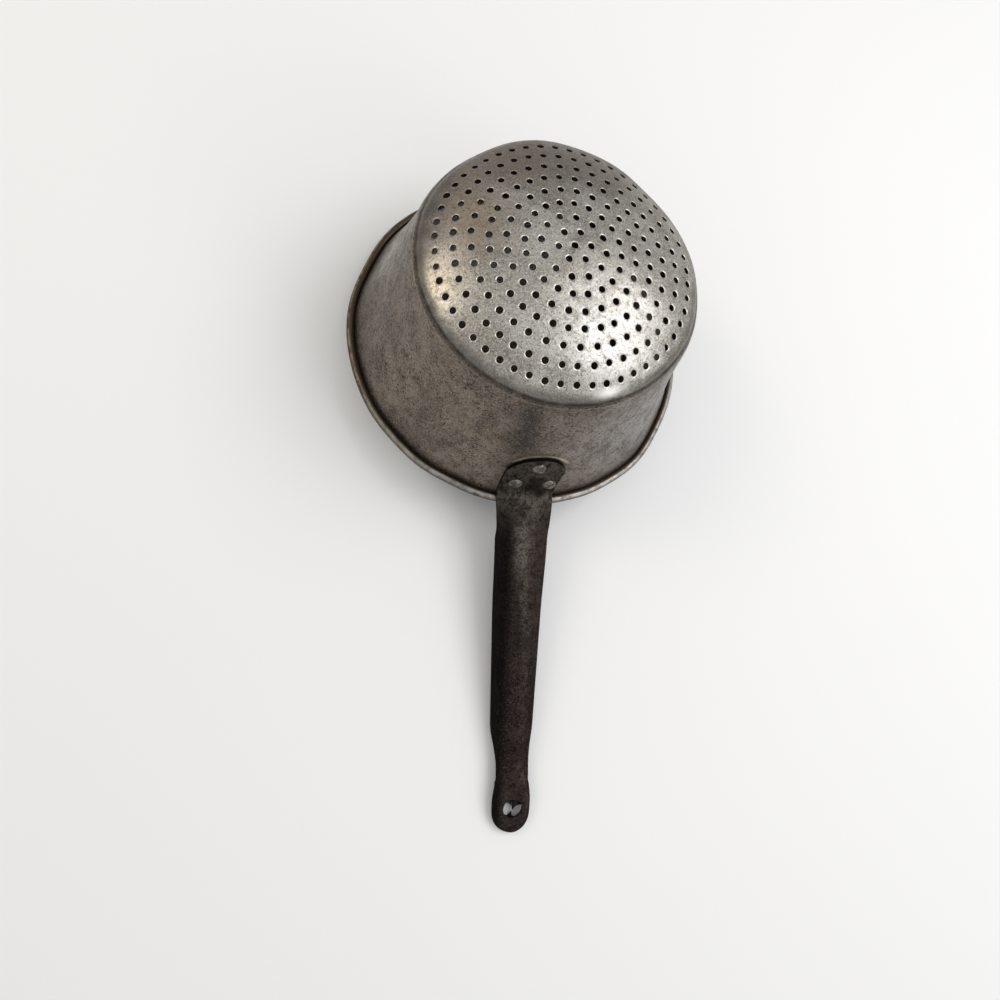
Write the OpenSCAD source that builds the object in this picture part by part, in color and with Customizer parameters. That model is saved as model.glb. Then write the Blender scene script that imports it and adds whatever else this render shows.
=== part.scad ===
// Long-handled dome strainer, resting mouth down on its rim and on the tip of its handle.
// Units are millimetres, +Z is up and the handle runs towards -Y.
// The origin is on the floor, under the middle of the whole strainer.

/* [Bowl] */
// Radius of the mouth, from the axis to the centre of the rim wire
rim_radius = 93.3; // [82:0.5:112]
// Height of the side wall from the rim to the start of the shoulder
wall_rise = 69.7; // [58:0.5:84]
// Lean of the wall from the vertical at the shoulder, degrees
wall_lean_top = 12; // [10:0.5:15]
// Lean of the wall from the vertical at the rim, degrees
wall_lean_rim = 23; // [20:0.5:26]
// Radius of the shoulder between the wall and the dome
shoulder_r = 12; // [9:0.5:15]
// Slope of the dome at its edge, degrees
dome_edge_slope = 31; // [26:0.5:35]
// Slope of the dome where its flatter crown begins, degrees
crown_slope = 15.2; // [12:0.2:18]
// Thickness of the tinned sheet
sheet_t = 0.8; // [0.6:0.05:1]

/* [Rim] */
// Radius of the wire inside the rim
wire_r = 1.4; // [1.1:0.1:1.8]
// Clearance between the wire and the sheet rolled round it
wire_gap = 0.05; // [0.02:0.01:0.1]
// How far the sheet is rolled round the wire past its lowest point, degrees
bead_wrap = 226; // [180:1:232]

/* [Perforation] */
// Diameter of each punched hole
hole_d = 3.2; // [2.4:0.1:4]
// Distance from the outermost ring of holes to the edge of the dome
hole_margin = 4; // [3:0.5:8]

/* [Handle] */
// Thickness of the handle's iron sheet
handle_t = 1.6; // [1.2:0.1:1.9]
// Angle at which the handle leaves the plane of the rim, degrees
handle_fall = 19.3; // [14:0.1:24]
// Length of the handle from its bend to the end of its tip
handle_length = 187.8; // [150:0.1:230]
// Half the width of the handle at its bend
root_half_w = 15.3; // [13:0.1:17]
// Half the width of the grip where its folded sides end
grip_half_w = 12; // [10.5:0.1:13.5]
// Half the width of the neck
neck_half_w = 9.3; // [8.5:0.1:10.5]
// Half the width of the hanging tip
tip_half_w = 10.9; // [10.2:0.1:12.5]
// Distance along the handle over which its sides turn down into the grip
turn_down = 15; // [14:1:40]
// Distance from the end of the tip to the end of the folded sides
fold_back = 54; // [50:0.5:62]
// Distance from the end of the tip to the neck
neck_back = 36; // [34:0.5:40]
// Half turn of the sheet left open at the neck, degrees
neck_wrap = 52; // [45:1:70]
// Length of the half oval that ends the tip
tip_oval = 14; // [12:0.5:16]
// Depth of the folded tip, between the middles of its two skins
tip_depth = 4.4; // [4:0.1:6]
// Gap between the two folded edges behind the tip
seam_gap = 0.3; // [0.2:0.1:0.8]
// Radius of the bend between flange and grip
bend_r = 6; // [5:0.5:8]
// Height above the rolled rim at which the bend begins
bend_lift = 6.25; // [6:0.05:8]

/* [Hanging hole] */
// Diameter of the hole through the front skin of the tip
hang_d = 10.8; // [8:0.2:11.4]
// Distance from the end of the tip to the middle of the hole
hang_back = 14.3; // [13.5:0.1:16]
// Distance of that hole from the handle's middle line
hang_side = 0.4; // [0:0.1:0.8]
// Diameter of the hole in each folded edge behind it
fold_hole_d = 8.8; // [7:0.2:9]
// How much further towards the tip the two holes behind it lie
fold_hole_on = 2.5; // [1:0.1:3]
// How far the right one lies past that and the left one short of it
fold_hole_skew = 1.3; // [0:0.1:1.5]
// How far both holes open into the seam between the folded edges
seam_bite = 0.2; // [0.1:0.05:0.5]

/* [Flange] */
// Length of the flange above the bend, along the wall
flange_rise = 25.7; // [25:0.1:34]
// Half the width of the flange at its corners
flange_half_w = 15.6; // [14:0.1:17]
// Rise of the flange's rounded top above its corners
flange_crown = 11.5; // [8:0.5:13]
// Clearance between the flange and the wall
flange_gap = 0.05; // [0.02:0.01:0.1]

/* [Rivets] */
// Diameter of a rivet's shank
rivet_d = 4; // [3:0.1:5]
// Clearance of a rivet's shank in its holes, on the radius
rivet_gap = 0.05; // [0.02:0.01:0.1]
// Diameter of a rivet's head
rivet_head_d = 6.6; // [6:0.1:8.5]
// Height of a rivet's head
rivet_head_h = 1.7; // [1.2:0.1:2.4]
// Diameter of a rivet's hammered tail, inside the bowl
rivet_tail_d = 6.6; // [6:0.1:8]
// Height of a rivet's tail
rivet_tail_h = 1.1; // [0.8:0.1:1.6]
// Distance of each lower rivet from the handle's middle line
rivet_side = 8.9; // [7.5:0.1:10]
// Height of the two lower rivets above the rim
rivet_low = 12.4; // [11.5:0.1:14]
// Height of the upper rivet above the rim
rivet_high = 25.8; // [24:0.1:27]

/* [Hidden] */

// Holes in each ring, from the first round the centre hole to the outermost, and the turn of each ring
ring_counts = [6, 12, 20, 24, 32, 36, 44, 52];
ring_turns = [6.4, 23, 13.7, 8.1, 5.9, 2.8, 1.9, 1.9];
rings = len(ring_counts);
// The flatter crown of the dome ends halfway between the fifth and the sixth ring
crown_rings = 5.5;

// Section of the bowl as [radius, height], through the middle of its sheet, with the wire's centre at height 0
bead_mid = wire_r + wire_gap + sheet_t / 2;
bead_r = bead_mid + sheet_t / 2;
function polar(r, angle) = [r * cos(angle), r * sin(angle)];
wall_foot = [rim_radius, 0] - polar(bead_mid, wall_lean_rim);
wall_lean_mean = (wall_lean_top + wall_lean_rim) / 2;
wall_top = wall_foot + [-wall_rise * tan(wall_lean_mean), wall_rise];
wall_r = wall_rise / cos(wall_lean_mean) / 2 / sin((wall_lean_rim - wall_lean_top) / 2);
wall_c = wall_top + polar(wall_r, wall_lean_top);
shoulder_c = wall_top - polar(shoulder_r, wall_lean_top);
dome_edge = shoulder_c + polar(shoulder_r, 90 - dome_edge_slope);
hole_pitch = (dome_edge[0] - hole_margin) / rings;
crown_edge_r = crown_rings * hole_pitch;
skirt_r = (dome_edge[0] - crown_edge_r) / (sin(dome_edge_slope) - sin(crown_slope));
skirt_c = dome_edge - polar(skirt_r, 90 - dome_edge_slope);
crown_r = crown_edge_r / sin(crown_slope);
crown_c = [0, skirt_c[1] + (skirt_r - crown_r) * cos(crown_slope)];

// Angle of the wall's outward normal above the horizontal, at a height on a surface offset outwards
function wall_normal(z, out) = asin((wall_c[1] - z) / (wall_r - out));
function wall_point(angle, out) = wall_c - polar(wall_r - out, angle);

// Middle of the handle's sheet on the flange, and the bend that leads from it into the grip
flange_out = sheet_t / 2 + flange_gap + handle_t / 2;
bend_height = bead_r + bend_lift;
bend_angle = wall_normal(bend_height, flange_out);
bend_start = wall_point(bend_angle, flange_out);
bend_c = bend_start + polar(bend_r, bend_angle);
bend_end = bend_c - polar(bend_r, 90 - handle_fall);
fold_end = handle_length - fold_back;
neck_s = handle_length - neck_back;
tip_s = handle_length - tip_oval;
hang_s = handle_length - hang_back;
tip_r = tip_depth / 2;
// Straight stretch at the middle and at the edges of every section of the handle
flat_min = 0.6;
lip_min = 0.4;

function mix(a, b, t) = a + (b - a) * t;
function ramp(s, a, b) = min(1, max(0, (s - a) / (b - a)));
function ease(s, a, b) = let (t = ramp(s, a, b)) t * t * (3 - 2 * t);
function unit(v) = v / norm(v);

// Half turn of the handle's sheet at a distance from the bend: open at the bend, half round, closed at the tip
root_wrap = 14;
turn_start = 2;
fold_start = neck_s + 3;
fold_full = tip_s - 6;
fold_tight = mix(fold_start, fold_full, 0.6);
function grip_wrap(s) = mix(root_wrap, 90, ease(s, turn_start, turn_down));
function cut_wrap(s) = mix(90, neck_wrap, ramp(s, fold_end, neck_s));
function tip_wrap(s) = mix(neck_wrap, 180, ease(s, fold_start, fold_full));
function wrap(s) = s < fold_end ? grip_wrap(s) : s < fold_start ? cut_wrap(s) : tip_wrap(s);

// Outer half width of the handle, and the same to the middle of its sheet
neck_ease = 6;
function grip_w(s) = mix(root_half_w, grip_half_w, s / fold_end);
function body_w(s) = mix(grip_w(s), neck_half_w, ease(s, fold_end - neck_ease, neck_s));
function oval(s) = sqrt(1 - pow(ramp(s, tip_s, handle_length), 2));
function half_w(s) = mix(body_w(s), tip_half_w, ease(s, fold_start, tip_s - 3)) * oval(s);
function mid_w(s) = half_w(s) - handle_t / 2 * sin(min(wrap(s), 90));

// Radius to which the sheet is bent at its sides, and the straight parts beside that bend
function open_r(s) = (mid_w(s) - flat_min) / sin(min(wrap(s), 90));
function closed_r(s) = tip_r * mix(0.5, 1, oval(s));
function side_r(s) = mix(open_r(s), closed_r(s), ease(s, neck_s, fold_tight));
function flat_half(s) = mid_w(s) - side_r(s) * sin(min(wrap(s), 90));
function lip(s) = mix(lip_min, flat_half(s) - seam_gap / 2, ease(s, fold_start, fold_full));
function sink(s) = s > tip_s ? tip_r - side_r(s) : 0;

// Half of a section as [across, down]: middle, end of the flat, round side, lip
round_steps = 6;
function half_section(flat, r, turn, edge) =
  let (turned = [for (k = [0:round_steps]) let (a = turn * k / round_steps) [flat + r * sin(a), r * (1 - cos(a))]])
  concat([[0, 0]], turned, [turned[round_steps] + edge * [cos(turn), sin(turn)]]);
half_count = round_steps + 2;
function mirrored(half) = concat(
  [for (k = [half_count:-1:1]) [-half[k][0], half[k][1]]],
  half
);

// A section placed at a point [radius, height] of the handle's middle line, with its depth along an angle
function placed(section, at, down) =
  [for (p = section) [p[0], -(at[0] + p[1] * cos(down)), at[1] + p[1] * sin(down)]];

// The flange lies on the wall, so its sections are arcs about the bowl's axis
function on_wall(half_width, angle) =
  let (at = wall_point(angle, flange_out), r = at[0])
  let (turn = asin((half_width - flat_min - lip_min) / r))
  let (across = mirrored(half_section(flat_min, r, turn, lip_min)))
  placed([for (p = across) [p[0], r - sqrt(r * r - p[0] * p[0])]], at, 180);
function flange_angle(up) = bend_angle - up / (wall_r - flange_out) * 180 / PI;
top_arc_r = (pow(flange_half_w, 2) + pow(flange_crown, 2)) / 2 / flange_crown;
top_arc_turn = asin(flange_half_w / top_arc_r);
corner_up = flange_rise - flange_crown;
function flange_top(turn) = on_wall(top_arc_r * sin(turn), flange_angle(flange_rise - top_arc_r * (1 - cos(turn))));
function flange_side(up) = on_wall(mix(root_half_w, flange_half_w, up / corner_up), flange_angle(up));

// In the bend the sections swing from lying on the wall to lying across the handle
wall_turn = asin((root_half_w - flat_min - lip_min) / bend_start[0]);
function bend_section(t) =
  let (angle = mix(bend_angle, 90 - handle_fall, t), turn = mix(wall_turn, root_wrap, t))
  let (r = (root_half_w - flat_min - lip_min) / sin(turn))
  placed(
    mirrored(half_section(flat_min, r, turn, lip_min)),
    bend_c - polar(bend_r, angle),
    mix(180, 270 - handle_fall, t)
  );

// Along the grip, neck and tip the sections stand square to the handle
function grip_section(s) = placed(
  mirrored(half_section(flat_half(s), side_r(s), wrap(s), lip(s))),
  bend_end + polar(s, -handle_fall) - polar(sink(s), 90 - handle_fall),
  270 - handle_fall
);

// The middle of the handle's sheet, as a net of sections from the flange's top to the end of the tip
top_steps = 7;
oval_steps = 6;
oval_turn = 72;
stations = concat(
  [for (k = [1:top_steps]) flange_top(top_arc_turn * k / top_steps)],
  [for (k = [3:-1:0]) flange_side(corner_up * k / 4)],
  [for (k = [1:4]) bend_section(k / 4)],
  [for (k = [1:7]) grip_section(turn_down * k / 7)],
  [for (k = [1:4]) grip_section(mix(turn_down, fold_end, k / 4))],
  [for (k = [1:4]) grip_section(mix(fold_end, neck_s, k / 4))],
  [for (k = [1:7]) grip_section(mix(neck_s, fold_full, k / 7))],
  [for (k = [1:2]) grip_section(mix(fold_full, tip_s, k / 2))],
  [for (k = [1:oval_steps]) grip_section(tip_s + tip_oval * sin(oval_turn * k / oval_steps))]
);
last_i = len(stations) - 1;
last_j = 2 * half_count;

// The sheet's two faces lie half its thickness to either side of that net
function step_i(i, j) = stations[min(i + 1, last_i)][j] - stations[max(i - 1, 0)][j];
function step_j(i, j) = stations[i][min(j + 1, last_j)] - stations[i][max(j - 1, 0)];
function face_point(i, j, side) = stations[i][j] + side * handle_t / 2 * unit(cross(step_i(i, j), step_j(i, j)));
function face_net(side) = [for (i = [0:last_i]) for (j = [0:last_j]) face_point(i, j, side)];
outer_net = face_net(1);
inner_net = face_net(-1);
count = len(outer_net);
function at(i, j) = i * (last_j + 1) + j;
function quad(a, b, c, d) = [[a, b, c], [a, c, d]];
net_faces = concat(
  [for (i = [0:last_i - 1]) for (j = [0:last_j - 1])
    each quad(at(i, j), at(i, j + 1), at(i + 1, j + 1), at(i + 1, j))],
  [for (i = [0:last_i - 1]) for (j = [0:last_j - 1])
    each quad(count + at(i, j), count + at(i + 1, j), count + at(i + 1, j + 1), count + at(i, j + 1))],
  [for (i = [0:last_i - 1]) each quad(at(i, 0), at(i + 1, 0), count + at(i + 1, 0), count + at(i, 0))],
  [for (i = [0:last_i - 1])
    each quad(at(i + 1, last_j), at(i, last_j), count + at(i, last_j), count + at(i + 1, last_j))],
  [for (j = [0:last_j - 1]) each quad(at(0, j + 1), at(0, j), count + at(0, j), count + at(0, j + 1))],
  [for (j = [0:last_j - 1])
    each quad(at(last_i, j), at(last_i, j + 1), count + at(last_i, j + 1), count + at(last_i, j))]
);

// The floor touches the rim bead on the far side and the lowest point of the handle
function floor_angle(p) =
  let (from_bead = [rim_radius - p[1], -p[2]])
  atan2(from_bead[1], from_bead[0]) - asin(bead_r / norm(from_bead));
handle_points = concat(outer_net, inner_net);
rest_lean = max([for (p = handle_points) floor_angle(p)]);
far_y = rim_radius * cos(rest_lean) + bead_r;
near_y = min([for (p = handle_points) p[1] * cos(rest_lean) + p[2] * sin(rest_lean)]);

// Sets the strainer down on the floor, over the origin
module at_rest() {
  translate([0, -(far_y + near_y) / 2, rim_radius * sin(rest_lean) + bead_r])
    rotate([-rest_lean, 0, 0])
      children();
}

// A length of sheet bent to a radius, in section, which laps a hair over the next one
lap = 0.01;
module bent_sheet(centre, r, from, to) {
  start = from - lap / r * 180 / PI;
  fan_steps = ceil((to - start) / 60);
  fan = [for (k = [0:fan_steps]) polar(2 * r, mix(start, to, k / fan_steps))];
  translate(centre)
    intersection() {
      difference() {
        circle(r = r + sheet_t / 2, $fn = 240);
        circle(r = r - sheet_t / 2, $fn = 240);
      }
      polygon(concat([[0, 0]], fan));
    }
}

module bowl_section() {
  bent_sheet(crown_c, crown_r, 90 - crown_slope, 90);
  bent_sheet(skirt_c, skirt_r, 90 - dome_edge_slope, 90 - crown_slope);
  bent_sheet(shoulder_c, shoulder_r, wall_lean_top, 90 - dome_edge_slope);
  bent_sheet(wall_c, wall_r, 180 + wall_lean_top, 180 + wall_lean_rim);
  bent_sheet([rim_radius, 0], bead_mid, 180 + wall_lean_rim, 270 + bead_wrap);
}

// One punch through the dome, square to its surface, at a distance from the axis
module punch(r) {
  on_crown = r < crown_edge_r;
  centre = on_crown ? crown_c : skirt_c;
  bend = on_crown ? crown_r : skirt_r;
  translate([centre[0], 0, centre[1]])
    rotate([0, asin((r - centre[0]) / bend), 0])
      translate([0, 0, bend - 2 * sheet_t])
        cylinder(h = 4 * sheet_t, d = hole_d, $fn = 24);
}

module perforation() {
  punch(0);
  for (ring = [1:rings])
    for (k = [0:ring_counts[ring - 1] - 1])
      rotate([0, 0, ring_turns[ring - 1] + k * 360 / ring_counts[ring - 1]])
        punch(ring * hole_pitch);
}

// Places a rivet, or its hole, square to the wall at a height and a distance to the right of the handle
module at_rivet(height, side) {
  angle = wall_normal(height, 0);
  at = wall_point(angle, 0);
  rotate([0, 0, asin(side / at[0]) - 90])
    translate([at[0], 0, at[1]])
      rotate([0, 90 - angle, 0])
        children();
}

module rivet_holes() {
  for (spot = [[rivet_low, -rivet_side], [rivet_low, rivet_side], [rivet_high, 0]])
    at_rivet(spot[0], spot[1])
      translate([0, 0, -2 * sheet_t])
        cylinder(h = 2 * sheet_t + 3 * handle_t, r = rivet_d / 2 + rivet_gap, $fn = 32);
}

// A low domed cap of a given diameter and height, standing on the level z = 0
module cap(d, h) {
  r = (d * d / 4 + h * h) / 2 / h;
  intersection() {
    translate([0, 0, h - r])
      sphere(r = r, $fn = 64);
    cylinder(h = h + 1, d = d + 2, $fn = 48);
  }
}

// A rivet set through the wall and the flange, with its head outside and its tail inside
head_level = sheet_t / 2 + flange_gap + handle_t;
module rivet(height, side) {
  tail_level = sheet_t / 2 + rivet_tail_d * rivet_tail_d / 8 / rim_radius * 1.25;
  color("dimgray")
    at_rest()
      at_rivet(height, side) {
        translate([0, 0, head_level])
          cap(rivet_head_d, rivet_head_h);
        translate([0, 0, -tail_level])
          cylinder(h = tail_level + head_level, d = rivet_d, $fn = 32);
        translate([0, 0, -tail_level])
          mirror([0, 0, 1])
            cap(rivet_tail_d, rivet_tail_h);
      }
}

// The bowl: flared wall, shoulder, dome with its rings of holes, and the rim rolled round its wire
module bowl() {
  color("silver")
    at_rest()
      difference() {
        rotate_extrude($fn = 180)
          bowl_section();
        perforation();
        rivet_holes();
      }
}

// The wire in the rim
module rim_wire() {
  color("gray")
    at_rest()
      rotate_extrude($fn = 180)
        translate([rim_radius, 0])
          circle(r = wire_r, $fn = 32);
}

// Stands on the handle's middle line, a distance from the bend, square to the sheet
module on_handle(s) {
  at = bend_end + polar(s, -handle_fall);
  translate([0, -at[0], at[1]])
    rotate([handle_fall, 0, 0])
      children();
}

// The holes of the hanging tip: one through the front skin, one in each folded edge
module hanging_holes() {
  fold_side = seam_gap / 2 - seam_bite + fold_hole_d / 2;
  on_handle(hang_s)
    translate([hang_side, 0, -tip_r])
      cylinder(h = tip_r + 2 * handle_t, d = hang_d, $fn = 48);
  for (side = [-1, 1])
    on_handle(hang_s + fold_hole_on + side * fold_hole_skew)
      translate([side * fold_side, 0, -tip_depth - 2 * handle_t])
        cylinder(h = 2 * handle_t + tip_r, d = fold_hole_d, $fn = 48);
}

// The handle, one sheet formed into flange, half-round grip, neck and folded tip
module handle() {
  color("dimgray")
    at_rest()
      difference() {
        polyhedron(points = handle_points, faces = net_faces, convexity = 10);
        hanging_holes();
        rivet_holes();
      }
}

module rivet_left() {
  rivet(rivet_low, -rivet_side);
}

module rivet_right() {
  rivet(rivet_low, rivet_side);
}

module rivet_top() {
  rivet(rivet_high, 0);
}

bowl();
rim_wire();
handle();
rivet_left();
rivet_right();
rivet_top();
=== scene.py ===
"""Looks of a long-handled dome strainer, resting mouth down on its rim and on the tip of its handle.

Shapes are worked out in millimetres in the bowl's own frame: the origin is the centre of the rim, +Z runs
along the bowl's axis towards the dome, and the handle runs towards -Y. place() sets them down in the row frame.
"""

import math

import bmesh
import bpy
import numpy as np
from mathutils import Matrix, Vector
from mathutils.geometry import delaunay_2d_cdt


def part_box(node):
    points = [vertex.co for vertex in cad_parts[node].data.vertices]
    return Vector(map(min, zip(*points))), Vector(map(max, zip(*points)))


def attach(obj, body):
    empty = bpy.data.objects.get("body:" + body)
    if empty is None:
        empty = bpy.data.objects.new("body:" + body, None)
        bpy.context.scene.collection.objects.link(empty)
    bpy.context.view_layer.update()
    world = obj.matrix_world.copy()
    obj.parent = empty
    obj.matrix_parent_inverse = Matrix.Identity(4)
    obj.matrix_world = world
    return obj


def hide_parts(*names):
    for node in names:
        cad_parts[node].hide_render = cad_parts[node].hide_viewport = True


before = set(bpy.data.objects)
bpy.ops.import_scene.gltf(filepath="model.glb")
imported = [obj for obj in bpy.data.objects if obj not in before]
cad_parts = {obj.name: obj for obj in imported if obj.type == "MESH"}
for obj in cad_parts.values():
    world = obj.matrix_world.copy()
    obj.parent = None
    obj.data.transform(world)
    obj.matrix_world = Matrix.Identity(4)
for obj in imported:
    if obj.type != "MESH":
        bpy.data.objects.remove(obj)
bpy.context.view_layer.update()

MM = 0.001
SEED = 11

# Driving sizes of the strainer, in millimetres and degrees
RIM_RADIUS = 93.3
WALL_RISE = 69.7
WALL_LEAN_TOP = 12.0
WALL_LEAN_RIM = 23.0
SHOULDER_R = 12.0
DOME_EDGE_SLOPE = 31.0
CROWN_SLOPE = 15.2
SHEET_T = 0.8
WIRE_R = 1.4
BEAD_MID = 1.85
BEAD_WRAP = 231.0
HOLE_D = 3.2
HOLE_MARGIN = 4.0
RING_COUNTS = [6, 12, 20, 24, 32, 36, 44, 52]
RING_TURNS = [6.4, 23.0, 13.7, 8.1, 5.9, 2.8, 1.9, 1.9]
CROWN_RINGS = 5.5
REST_LEAN = 9.23445
HANDLE_T = 1.6
HANDLE_FALL = 19.3
HANDLE_LENGTH = 187.8
ROOT_HALF_W = 15.3
GRIP_HALF_W = 12.0
NECK_HALF_W = 9.3
TIP_HALF_W = 10.9
TURN_DOWN = 26.0
FOLD_BACK = 54.0
NECK_BACK = 36.0
NECK_WRAP = 52.0
TIP_OVAL = 14.0
TIP_DEPTH = 4.4
SEAM_GAP = 0.3
# How far to the right of the middle the seam and the end of the tip lie
SEAM_SIDE = 1.3
TIP_SIDE = 1.4
BEND_R = 6.0
BEND_HEIGHT = 8.5
HANG_D = 10.8
HANG_BACK = 14.3
HANG_SIDE = 0.4
FOLD_HOLE_D = 8.8
# How much further towards the tip the holes in the left and right fold lie
FOLD_HOLE_ON = (2.9, 4.9)
# How far those holes open into the seam
SEAM_BITE = 0.2
# How far to the right the flange's top and the bend have been pushed out of the middle
FLANGE_SKEW = 0.9
BEND_SKEW = -1.8
BEND_SKEW_END = 20.0
GRIP_SIDE = 0.7
GRIP_SIDE_FROM = (10.0, 22.0)
GRIP_SIDE_TO = (28.0, 66.0)
FLANGE_RISE = 25.7
FLANGE_HALF_W = 15.6
FLANGE_CROWN = 11.5
FLANGE_GAP = 0.05
RIVET_HEAD_D = 7.2
RIVET_HEAD_H = 1.7
RIVET_TAIL_D = 6.6
RIVET_TAIL_H = 1.1
RIVET_SIDE = 8.9
RIVET_LOW = 12.4
RIVET_HIGH = 25.8

LEAN = math.radians(REST_LEAN)
RIM_LIFT = RIM_RADIUS * math.sin(LEAN) + BEAD_MID + SHEET_T / 2
FAR_Y = RIM_RADIUS * math.cos(LEAN) + BEAD_MID + SHEET_T / 2
RIM_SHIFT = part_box("bowl")[1].y / MM - FAR_Y


def place(points):
    """Points of the bowl's frame in millimetres, as points of the row frame in metres."""
    p = np.asarray(points, float)
    y = p[:, 1] * math.cos(LEAN) + p[:, 2] * math.sin(LEAN) + RIM_SHIFT
    z = -p[:, 1] * math.sin(LEAN) + p[:, 2] * math.cos(LEAN) + RIM_LIFT
    return np.column_stack([p[:, 0], y, z]) * MM


def polar(r, degrees):
    return np.array([r * math.cos(math.radians(degrees)), r * math.sin(math.radians(degrees))])


def sin_d(degrees):
    return math.sin(math.radians(degrees))


def cos_d(degrees):
    return math.cos(math.radians(degrees))


def tan_d(degrees):
    return math.tan(math.radians(degrees))


# Section of the bowl as [radius, height], through the middle of its sheet
wall_foot = np.array([RIM_RADIUS, 0.0]) - polar(BEAD_MID, WALL_LEAN_RIM)
wall_lean_mean = (WALL_LEAN_TOP + WALL_LEAN_RIM) / 2
wall_top = wall_foot + np.array([-WALL_RISE * tan_d(wall_lean_mean), WALL_RISE])
wall_r = WALL_RISE / cos_d(wall_lean_mean) / 2 / sin_d((WALL_LEAN_RIM - WALL_LEAN_TOP) / 2)
wall_c = wall_top + polar(wall_r, WALL_LEAN_TOP)
shoulder_c = wall_top - polar(SHOULDER_R, WALL_LEAN_TOP)
dome_edge = shoulder_c + polar(SHOULDER_R, 90 - DOME_EDGE_SLOPE)
hole_pitch = (dome_edge[0] - HOLE_MARGIN) / len(RING_COUNTS)
crown_edge_r = CROWN_RINGS * hole_pitch
skirt_r = (dome_edge[0] - crown_edge_r) / (sin_d(DOME_EDGE_SLOPE) - sin_d(CROWN_SLOPE))
skirt_c = dome_edge - polar(skirt_r, 90 - DOME_EDGE_SLOPE)
crown_r = crown_edge_r / sin_d(CROWN_SLOPE)
crown_c = np.array([0.0, skirt_c[1] + (skirt_r - crown_r) * cos_d(CROWN_SLOPE)])

# Arcs of that section from the axis to the end of the rolled rim: centre, radius, first and last angle of the
# point seen from the centre, and +1 where the outer face is the one further from the centre
ARCS = [
    (crown_c, crown_r, 90.0, 90 - CROWN_SLOPE, 1),
    (skirt_c, skirt_r, 90 - CROWN_SLOPE, 90 - DOME_EDGE_SLOPE, 1),
    (shoulder_c, SHOULDER_R, 90 - DOME_EDGE_SLOPE, WALL_LEAN_TOP, 1),
    (wall_c, wall_r, 180 + WALL_LEAN_TOP, 180 + WALL_LEAN_RIM, -1),
    (np.array([RIM_RADIUS, 0.0]), BEAD_MID, 180 + WALL_LEAN_RIM, 270 + BEAD_WRAP, -1),
]
ARC_LENGTHS = [abs(a[3] - a[2]) * math.pi / 180 * a[1] for a in ARCS]
ARC_ENDS = np.concatenate([[0], np.cumsum(ARC_LENGTHS)])
DOME_END = ARC_ENDS[2]


def section(s):
    """Radius, height and outward normal of the bowl's section at distances s from the axis along the sheet."""
    s = np.asarray(s, float)
    out = np.zeros((len(s), 4))
    for arc, start, length in zip(ARCS, ARC_ENDS, ARC_LENGTHS):
        here = (s >= start - 1e-9) & (s <= start + length + 1e-9)
        centre, r, first, last, side = arc
        angle = np.radians(first + (last - first) * (s[here] - start) / length)
        direction = np.column_stack([np.cos(angle), np.sin(angle)])
        out[here, :2] = centre + r * direction
        out[here, 2:] = side * direction
    return out


def wall_normal(z, out):
    return math.degrees(math.asin((wall_c[1] - z) / (wall_r - out)))


def wall_point(degrees, out):
    return wall_c - polar(wall_r - out, degrees)


HANDLE_AZIMUTH = -90.0


def bump_field(theta, s, centre, width, depth):
    """One shallow round dent or swelling of the sheet, in millimetres along its normal."""
    at_theta, at_s = centre
    radius = section(np.array([at_s]))[0, 0]
    around = (np.degrees(theta) - at_theta + 180) % 360 - 180
    d2 = (np.radians(around) * radius) ** 2 + (s - at_s) ** 2
    return depth * np.exp(-d2 / (2 * width * width))


# Dents of the old sheet: azimuth in degrees, distance along the sheet as a share of the wall, width, depth
WALL_DENTS = [
    (222, 0.93, 9, -0.9),
    (244, 0.97, 9, -0.9),
    (196, 0.55, 12, -0.5),
    (305, 0.42, 13, -0.5),
    (313, 0.96, 12, 1.1),
    (291, 0.96, 8, 0.5),
    (330, 0.86, 10, -0.6),
    (252, 0.25, 9, -0.35),
    (20, 0.5, 14, -0.6),
    (75, 0.8, 11, -0.5),
    (120, 0.35, 12, -0.5),
    (158, 0.95, 13, -1.3),
]
# The crease left by the tool that turned the shoulder, as a distance along the sheet
CREASE_S = ARC_ENDS[2] + 4.2
# Swellings and dents of the shoulder
SHOULDER_DENTS = [(340, 22, 1.3), (10, 12, 0.6), (46, 11, -1.3), (100, 14, 1.0), (126, 12, -0.9), (158, 9, 0.5)]
DOME_DENTS = [(30, 40, 9, -0.35), (210, 30, 11, -0.3), (300, 52, 8, -0.3), (130, 50, 9, 0.25), (75, 20, 10, -0.2)]


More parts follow.
